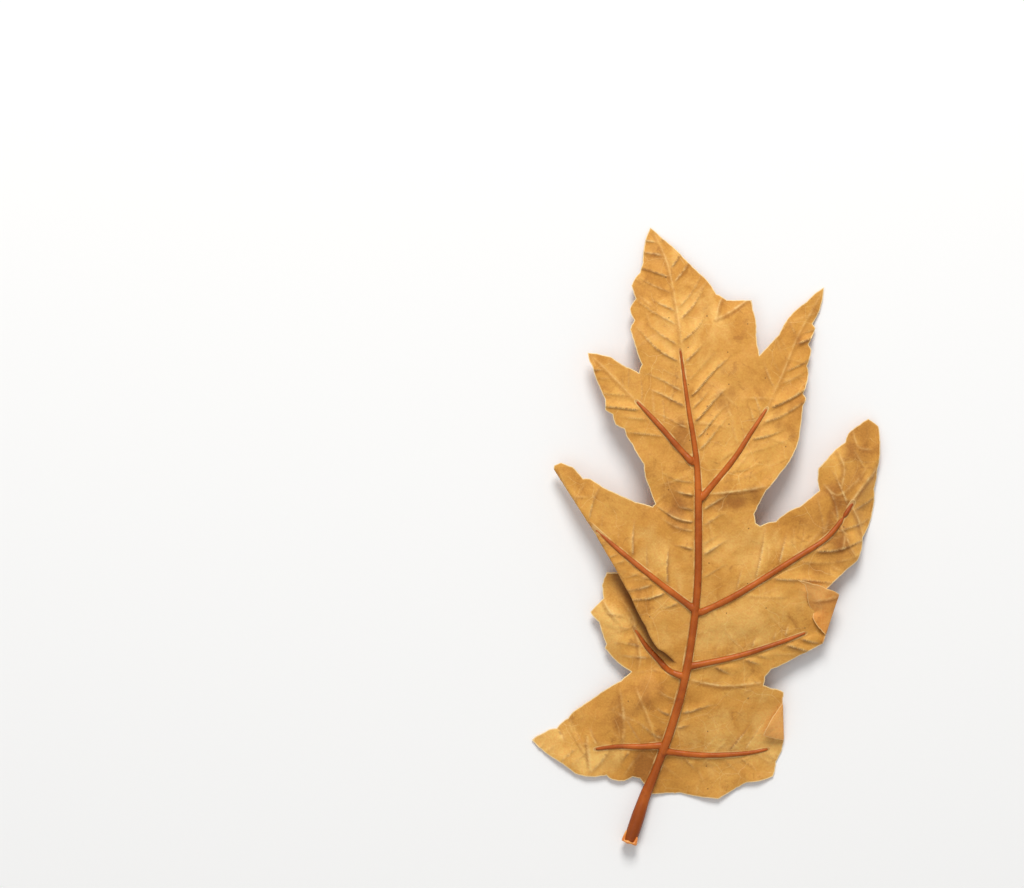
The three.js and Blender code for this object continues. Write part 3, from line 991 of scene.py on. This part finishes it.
def weave(surface):
    """A fine cloth grain: two crossed sets of threads."""
    threads = []
    for turn in (math.radians(38), math.radians(128)):
        turned = surface.node("VectorRotate", {"rotation_type": "Z_AXIS"}, Vector=surface.coords, Angle=turn)
        wave = surface.node("TexWave", Vector=turned.outputs[0], Scale=440.0, Distortion=1.6, Detail=2.0,
                            Detail_Scale=1.2)
        threads.append(wave.outputs["Fac"])
    return surface.times(*threads)


def bent_coords(surface, coords, scale):
    """The coordinates pushed about by noise, so that straight cells in them come out bent."""
    bend = surface.node("TexNoise", Vector=coords, Scale=scale * 1.4).outputs["Color"]
    push = surface.combine("VectorMath", "MULTIPLY", bend, (0.5 / scale,) * 3)
    return surface.combine("VectorMath", "ADD", coords, push)


def pale_cracks(surface, scale, width, shift):
    """Faint pale lines where the coating has creased: the edges of bent cells, broken up."""
    shifted = surface.combine("VectorMath", "ADD", surface.coords, shift)
    cells = surface.cells("DISTANCE_TO_EDGE", bent_coords(surface, shifted, scale), scale)
    line = surface.ramp(cells["Distance"], 0.0, width * scale, 1.0, 0.0)
    broken = surface.ramp(surface.noise(scale * 0.8, 2.0, coords=shifted), 0.48, 0.62)
    return surface.times(line, broken)


def specks(surface, scale, radius, share):
    """Small scattered dots: only the cells whose own random value is under the share have one."""
    cells = surface.cells("F1", surface.coords, scale)
    dot = surface.ramp(cells["Distance"], radius * scale * 0.6, radius * scale, 1.0, 0.0)
    chance = surface.node("SeparateColor", Color=cells["Color"]).outputs[0]
    return surface.times(dot, surface.combine("Math", "LESS_THAN", chance, share))


# The fabric's tones. The shade tone also paints shade in the hollows, the stain-and-shade tone also paints
# shade on steep faces and beside the ribs, and the crest tone also paints highlights along crests and beside
# the ribs.
Tones = namedtuple("Tones", "light mid shade stain pale crest edge")
FRONT_TONES, BACK_TONES = (Tones(*(linear(*tone) for tone in row)) for row in (
    ((233, 172, 81), (219, 154, 64), (188, 123, 44), (153, 90, 32), (250, 198, 110), (253, 212, 140),
     (253, 226, 168)),
    ((238, 165, 77), (228, 152, 66), (202, 123, 46), (164, 94, 34), (255, 190, 106), (252, 200, 124),
     (248, 202, 132)),
))
DEEP_SHADE = linear(106, 56, 8)
SPECK_TONE = linear(104, 58, 22)
GRAIN_TONES = (0.36, 0.35, 0.33, 1), (0.64, 0.65, 0.66, 1)
# The pale cracks in the coating: cells per metre, width, shift and strength of each set.
CRACKS = [
    (62.0, 0.00015, (0, 0, 0), 0.36),
    (125.0, 0.00011, (0.3, 0.1, 0), 0.34),
    (33.0, 0.00018, (0.1, 0.6, 0), 0.22),
]
# The specks: cells per metre, radius, share of cells that have one, and strength.
SPECKS = [(150.0, 0.00028, 0.13, 0.75), (70.0, 0.00042, 0.08, 0.5)]


def tone_and_shading_coats(fabric, tones, clouds):
    """The broad tone, its clouds and stains, and the patches painted darker or paler, partly dye and partly
    painted shade and painted light.
    """
    ramp = fabric.ramp
    fabric.colour = fabric.mix(ramp(fabric.noise(26.0, 3.0, 0.55, 0.4), 0.36, 0.66), tones.mid, tones.light)
    fabric.coat(ramp(clouds, 0.5, 0.72, 0.0, 0.6), tones.shade)
    fabric.coat(ramp(fabric.noise(150.0, 8.0, 0.7, 1.2), 0.54, 0.72, 0.0, 0.6), tones.stain)
    uneven = ramp(clouds, 0.3, 0.7, -0.22, 0.22)
    dye_and_painted_shading = fabric.combine("Math", "ADD", fabric.attribute("dye_and_painted_shading"), uneven)
    # Painted shade and painted light from the patches, mixed with the dye's own variation.
    fabric.coat(ramp(dye_and_painted_shading, 0.0, 1.1, 0.0, 0.85), tones.stain)
    fabric.coat(ramp(dye_and_painted_shading, -1.1, 0.0, 0.85, 0.0), tones.pale)


def relief_coats(fabric, tones, relief_sign):
    """Painted shade in the hollows and on the steep faces, a painted highlight along the crests, and pale
    cracks.
    """
    relief = fabric.times(fabric.attribute("relief"), relief_sign)
    # Painted shade: the hollows are coloured darker.
    fabric.coat(fabric.ramp(relief, 0.02, 0.3, 0.28, 0.0), tones.shade)
    # Painted shade: the steep faces of pleats and creases, which turn from the light, are coloured darker.
    fabric.tint(fabric.attribute("steep"), 0.95, tones.stain)
    # Painted highlight along the crests, broken up by noise.
    crest_highlight_strength = fabric.ramp(fabric.noise(400.0), 0.38, 0.6, 0.25, 0.75)
    fabric.tint(fabric.attribute("crest"), crest_highlight_strength, tones.crest)
    for scale, width, shift, strength in CRACKS:
        fabric.tint(pale_cracks(fabric, scale, width, shift), strength, tones.crest)


def small_marks(fabric, tones, grain, rim_width):
    """Grain, specks, a painted highlight and a painted contact shadow where each rib meets the fabric, the
    pleat's painted deep shadow and the pale rim.
    """
    ramp = fabric.ramp
    fabric.coat(0.4, fabric.mix(ramp(grain, 0.3, 0.7), *GRAIN_TONES), "OVERLAY")
    for scale, radius, share, strength in SPECKS:
        fabric.tint(specks(fabric, scale, radius, share), strength, SPECK_TONE)
    rib_gap = fabric.attribute("rib_gap")
    # Painted highlight: a patchy pale line where the fabric rises to each rib.
    patchy = ramp(fabric.noise(210.0), 0.42, 0.62, 0.1, 0.75)
    fabric.tint(ramp(rib_gap, 0.28, 0.52, 1.0, 0.0), patchy, tones.crest)
    # Painted contact shadow right beside each rib.
    fabric.coat(ramp(rib_gap, 0.05, 0.28, 0.45, 0.0), tones.stain)
    # Painted shadow deep in the pleat's fold, beside the lip.
    fabric.tint(fabric.attribute("fold_shadow_paint"), 0.8, DEEP_SHADE)
    fabric.coat(ramp(fabric.attribute("edge_gap"), 0.08, rim_width, 0.92, 0.0), tones.edge)


def fabric_material(name, tones, relief_sign, rim_width):
    fabric = Surface(name)
    clouds = fabric.noise(75.0, 6.0, 0.62, 0.8)
    grain = fabric.noise(1500.0, 3.0, 0.7)
    tone_and_shading_coats(fabric, tones, clouds)
    relief_coats(fabric, tones, relief_sign)
    small_marks(fabric, tones, grain, rim_width)
    facets = fabric.cells("F1", bent_coords(fabric, fabric.coords, 110.0), 170.0)
    fabric.bump(0.4, 0.0006, facets["Distance"])
    fabric.bump(0.6, 0.0005, fabric.noise(320.0, 6.0, 0.65, 0.5))
    fabric.bump(0.25, 0.00006, weave(fabric))
    fabric.bump(0.4, 0.0001, grain)
    rough = fabric.ramp(clouds, 0.3, 0.75, 0.56, 0.76)
    return fabric.finish(rough, Specular_IOR_Level=0.32, Sheen_Weight=0.06, Sheen_Roughness=0.45)


def cut_edge_material():
    edge = Surface("fabric_cut_edge")
    fibres = edge.noise(2200.0, 3.0, 0.7)
    edge.colour = edge.mix(edge.ramp(fibres, 0.3, 0.7), linear(216, 162, 92), linear(240, 198, 134))
    edge.bump(0.5, 0.0001, fibres)
    return edge.finish(0.85)


def rib_material():
    """Rust-brown plastic, dustier in places and darker toward the foot, with painted shade down its sides.
    """
    rib = Surface("moulded_rib_plastic")
    ramp = rib.ramp
    broad = rib.noise(90.0, 4.0, 0.6, 0.3)
    rib.colour = rib.mix(ramp(broad, 0.35, 0.68), linear(168, 79, 20), linear(200, 103, 34))
    dust = rib.noise(900.0, 5.0, 0.7)
    rib.coat(ramp(dust, 0.55, 0.8, 0.0, 0.45), linear(214, 126, 54))
    along = rib.node("SeparateXYZ", Vector=rib.coords).outputs[1]
    rib.coat(ramp(along, cad_low.y, cad_low.y + 30 * MM, 0.5, 0.0), linear(110, 46, 12))
    dark = rib.noise(260.0, 4.0, 0.6)
    rib.coat(ramp(dark, 0.58, 0.78, 0.0, 0.5), linear(116, 46, 10))
    # Painted shade: the rib's sides, which face away from the overhead light, are coloured darker.
    upward = rib.node("SeparateXYZ", Vector=rib.node("NewGeometry").outputs["Normal"]).outputs[2]
    rib.coat(ramp(upward, 0.15, 0.72, 0.58, 0.0), linear(112, 44, 10))
    rib.bump(0.4, 0.0004, dark)
    rib.bump(0.35, 0.00012, dust)
    return rib.finish(ramp(dust, 0.3, 0.7, 0.32, 0.48), Specular_IOR_Level=0.26)


def glue_material():
    glue = Surface("hot_glue")
    cloudy = glue.noise(420.0, 4.0, 0.6, 0.5)
    glue.colour = glue.mix(glue.ramp(cloudy, 0.35, 0.7), linear(224, 124, 44), linear(244, 168, 84))
    glue.bump(0.4, 0.0003, cloudy)
    rough = glue.ramp(cloudy, 0.3, 0.7, 0.2, 0.34)
    return glue.finish(rough, Specular_IOR_Level=0.55, Coat_Weight=0.3, Coat_Roughness=0.15)


def floor_material():
    floor = Surface("pale_floor")
    floor.colour = floor.mix(floor.noise(3.0, 2.0), (0.965, 0.965, 0.965, 1), (0.975, 0.975, 0.97, 1))
    return floor.finish(0.9, Specular_IOR_Level=0.1)


# ---- the ribs and the stalk ----
SOCKET_RADIUS = 1.5 * MM
SOCKET_DEPTH = 7 * MM
ROD_STEP = 0.6 * MM
ROD_SIDES = 20
RIB_VOXEL = 0.2 * MM
CONTACT_GAP = 0.35 * MM
STEM_LINE = [
    (-9, 64), (-6.5, 45.5), (-3.5, 25), (-3, 3), (-3.5, -20), (-7, -46), (-11.5, -63.5), (-17.5, -80.5),
    (-21, -89), (-26, -104),
]


def join_rings(bm, pairs):
    for low, high in pairs:
        for a, b, c, d in zip(low, low[1:] + low[:1], high[1:] + high[:1], high):
            bm.faces.new((a, b, c, d))


def piece_of(name, bm):
    """A scene object made of the bmesh."""
    piece = bpy.data.objects.new(name, bpy.data.meshes.new(name))
    bm.to_mesh(piece.data)
    bm.free()
    bpy.context.scene.collection.objects.link(piece)
    return piece


def rod(bm, centres, heading, radius, flatten):
    """A closed rod of flattened round section along the centres."""
    angle = np.linspace(0, 2 * math.pi, ROD_SIDES, endpoint=False)
    up = flatten * np.array((0, 0, 1))
    rings = []
    for centre, way, r in zip(centres, heading, radius):
        side = np.array((way[1], -way[0], 0))
        rings.append([bm.verts.new(centre + r * (math.cos(a) * side + math.sin(a) * up)) for a in angle])
    join_rings(bm, zip(rings, rings[1:]))
    bm.faces.new(rings[0][::-1])
    bm.faces.new(rings[-1])


def rounded_end(way, radius):
    """Draws a rod's radius in over its first bit, so that its thin end is round."""
    t = np.clip(way / (1.2 * radius), 0.02, 1)
    return np.sqrt(1 - (1 - t) ** 2)


def rib_radius(name, way, length):
    """A rib's radius at each way along it from its root."""
    at = np.clip(way / length, 0, 1)
    if name in ("mid", "base"):
        along = 0.62 * (1 - at) if name == "mid" else 1 - 0.38 * at
        return stem_radius(along)
    tip = BLUNT_TIP_RADIUS if name == BLUNT_RIB else RIB_TIP_RADIUS
    radius = tip + (RIB_ROOT_RADIUS - tip) * np.sqrt(1 - at)
    if name == BLUNT_RIB:
        radius = radius * (1 - 0.62 * bell(length - way - BLUNT_RIB_NECK, 0.9 * MM))
    return radius


def side_rib(bm, name, lower, ground):
    """A side rib from its thin tip to its root, which runs down into the midrib."""
    line = spline(VEINS[name].rib)[::-1]
    points, heading, at = even_points(line, ROD_STEP)
    length = line_length(line)
    way = at * length
    radius = rib_radius(name, (1 - at) * length, length)
    radius *= 1 + 0.05 * waves(points, 7 * MM, len(name) + ord(name[0]) + ord(name[-1]))
    radius += 0.15 * MM * smoothstep(way, length - 5 * MM, length - 2 * MM)
    radius *= 1 - 0.45 * smoothstep(way, length - 1.5 * MM, length)
    radius *= rounded_end(way, RIB_TIP_RADIUS * 2)
    height = cad_height(points, lower) + THICKNESS / 2 + 0.42 * radius
    centres = np.column_stack([points, height]) + ground
    rod(bm, centres, heading, radius, RIB_FLATTEN)


def stem_radius(at):
    midrib = STEM_TIP_RADIUS + (STEM_MIDDLE_RADIUS - STEM_TIP_RADIUS) * np.minimum(1, at / 0.3)
    base = (STEM_BASE_RADIUS - STEM_MIDDLE_RADIUS) * smoothstep(at, 0.4, 0.85)
    sleeve = (SLEEVE_RADIUS - STEM_BASE_RADIUS) * smoothstep(at, 0.84, 0.96)
    return midrib + base + sleeve - MOUTH_TAPER * smoothstep(at, 0.97, 1)


def stem_rod(bm, ground):
    """The midrib, which thickens down to the blade's base and runs on as the stalk."""
    line = spline(STEM_LINE)
    points, heading, at = even_points(line, ROD_STEP)
    radius = stem_radius(at) * (1 + 0.035 * waves(points, 11 * MM, 77))
    radius *= rounded_end(at * line_length(line), STEM_TIP_RADIUS * 2)
    on_fabric = cad_height(points, False) + THICKNESS / 2 + 0.5 * radius
    on_floor = CAD_THICKNESS + CONTACT_GAP + radius
    off_blade = smoothstep(-points[:, 1], 80 * MM, 94 * MM)
    height = on_fabric + (np.maximum(on_floor, on_fabric) - on_fabric) * off_blade
    centres = np.column_stack([points, height]) + ground
    rod(bm, centres, heading, radius, STEM_FLATTEN)
    return centres[-1], heading[-1]


def socket_cutter(foot, heading):
    along = Vector((*heading, 0)).to_track_quat("Z", "Y").to_euler()
    bpy.ops.mesh.primitive_cylinder_add(vertices=32, radius=SOCKET_RADIUS, depth=2 * SOCKET_DEPTH,
                                        location=Vector(foot), rotation=along)
    return bpy.context.object


def apply_modifier(piece, kind, **settings):
    modifier = piece.modifiers.new(kind.title(), kind)
    for key, value in settings.items():
        setattr(modifier, key, value)
    bpy.context.view_layer.objects.active = piece
    with bpy.context.temp_override(object=piece, active_object=piece, selected_objects=[piece]):
        bpy.ops.object.modifier_apply(modifier=modifier.name)


def make_rib_frame(ground):
    bm = bmesh.new()
    foot, heading = stem_rod(bm, ground)
    for name in ("left_1", "left_2", "left_4", "right_1", "right_2", "right_3", "right_4", "left_3"):
        side_rib(bm, name, name == "left_3", ground)
    ribs = piece_of("rib_moulding", bm)
    voxel = RIB_VOXEL * 1
    apply_modifier(ribs, "REMESH", mode="VOXEL", voxel_size=voxel)
    cutter = socket_cutter(foot, heading)
    apply_modifier(ribs, "BOOLEAN", operation="DIFFERENCE", object=cutter, solver="EXACT")
    bpy.data.objects.remove(cutter)
    apply_modifier(ribs, "SMOOTH", factor=0.5, iterations=4)
    ribs.data.shade_smooth()
    return ribs, foot, heading


# ---- the ring of glue at the stalk's foot ----
COLLAR_RADIUS = 2.3 * MM
COLLAR_TUBE = 0.42 * MM


def make_glue_collar(foot, heading):
    """An uneven ring squeezed out round the socket's mouth, with a few runs up the sleeve."""
    rng = np.random.default_rng(5)
    way = np.array((heading[0], heading[1], 0.0))
    side = np.array((heading[1], -heading[0], 0.0))
    up = np.array((0, 0, 1.0))
    turns, rounds = 96, 20
    ring_angle = np.linspace(0, 2 * math.pi, turns, endpoint=False)
    phases = rng.uniform(0, 2 * math.pi, 5)
    swell = 1 + sum(0.09 * np.sin(k * ring_angle + phases[k - 2]) for k in range(2, 7))
    runs = sum(
        rng.uniform(0.8, 2.2) * bell(np.angle(np.exp(1j * (ring_angle - at))), 0.2)
        for at in rng.uniform(0, 2 * math.pi, 5)
    )
    bm = bmesh.new()
    rings = []
    for a, thickness, run in zip(ring_angle, COLLAR_TUBE * swell, runs):
        outward = math.cos(a) * side + math.sin(a) * up
        centre = foot + outward * COLLAR_RADIUS * (1 + 0.03 * math.sin(3 * a)) + way * 0.3 * MM
        ring = []
        for b in np.linspace(0, 2 * math.pi, rounds, endpoint=False):
            back = max(0.0, -math.cos(b)) * run * 0.9 * MM
            out = thickness * math.sin(b) * (1 + 0.15 * run)
            ring.append(bm.verts.new(centre + outward * out + way * (thickness * math.cos(b) - back)))
        rings.append(ring)
    join_rings(bm, zip(rings, rings[1:] + rings[:1]))
    bmesh.ops.recalc_face_normals(bm, faces=bm.faces)
    collar = piece_of("glue_ring", bm)
    collar.data.shade_smooth()
    return collar


# ---- floor, light and camera ----
VIEW_CENTRE = Vector((-66.3 * MM, 31.9 * MM, 12 * MM))
VIEW_WIDTH = 348.2 * MM
VIEW_DISTANCE = 1.6
SENSOR = 36.0


def make_floor():
    bpy.ops.mesh.primitive_plane_add(size=6.0, location=(0, 0, 0))
    floor = bpy.context.object
    floor.name = "floor"
    floor.data.materials.append(floor_material())


def area_light(name, place, target, size, power, colour):
    data = bpy.data.lights.new(name, "AREA")
    data.shape = "DISK"
    data.size = size
    data.energy = power
    data.color = colour
    lamp = bpy.data.objects.new(name, data)
    bpy.context.scene.collection.objects.link(lamp)
    lamp.location = place
    lamp.rotation_euler = (Vector(target) - Vector(place)).to_track_quat("-Z", "Y").to_euler()


def make_light():
    area_light("key", (0.0, 1.3, 1.2), (0, 0, 0), 0.8, 23.0, (1.0, 0.99, 0.97))
    area_light("fill", (-0.7, -0.3, 1.6), (0, 0, 0), 1.4, 3.0, (0.98, 0.99, 1.0))
    world = bpy.data.worlds.new("studio")
    bpy.context.scene.world = world
    world.use_nodes = True
    world.node_tree.nodes["Background"].inputs["Color"].default_value = (1, 1, 1, 1)
    world.node_tree.nodes["Background"].inputs["Strength"].default_value = 0.42
    bpy.context.scene.view_settings.view_transform = "Standard"


def make_camera():
    data = bpy.data.cameras.new("camera")
    data.sensor_width = SENSOR
    data.lens = SENSOR * VIEW_DISTANCE / VIEW_WIDTH
    data.clip_end = 20
    camera = bpy.data.objects.new("camera", data)
    bpy.context.scene.collection.objects.link(camera)
    camera.location = VIEW_CENTRE + Vector((0, 0, VIEW_DISTANCE))
    bpy.context.scene.camera = camera


# ---- the leaf ----
def resting_shift():
    """Moves the leaf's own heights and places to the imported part's frame."""
    grid_x, grid_y = np.meshgrid(np.linspace(-60, 60, 61) * MM, np.linspace(-90, 106, 99) * MM)
    lowest = float(blade_height(grid_x, grid_y).min()) - CAD_THICKNESS / 2
    return np.array((0, cad_high.y - LEAF_TOP, -lowest))


def hand_over(piece, node, slot, *materials):
    """Gives a piece its materials, hangs it under the root body and hides the CAD node that it stands for.
    """
    for material in materials:
        piece.data.materials.append(material)
    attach(piece, "root")
    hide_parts(node)


def build():
    ground = resting_shift()
    blade, flat_size, flat_area = make_blade(ground)
    front = fabric_material("pressed_fabric_front", FRONT_TONES, 1.0, 0.4)
    back = fabric_material("pressed_fabric_back", BACK_TONES, -1.0, 0.25)
    hand_over(blade, "blade", "pressed_fabric", front, back, cut_edge_material())
    ribs, foot, heading = make_rib_frame(ground)
    hand_over(ribs, "rib_frame", "rib_plastic", rib_material())
    hand_over(make_glue_collar(foot, heading), "glue_collar", "glue", glue_material())


build()
make_floor()
make_light()
make_camera()
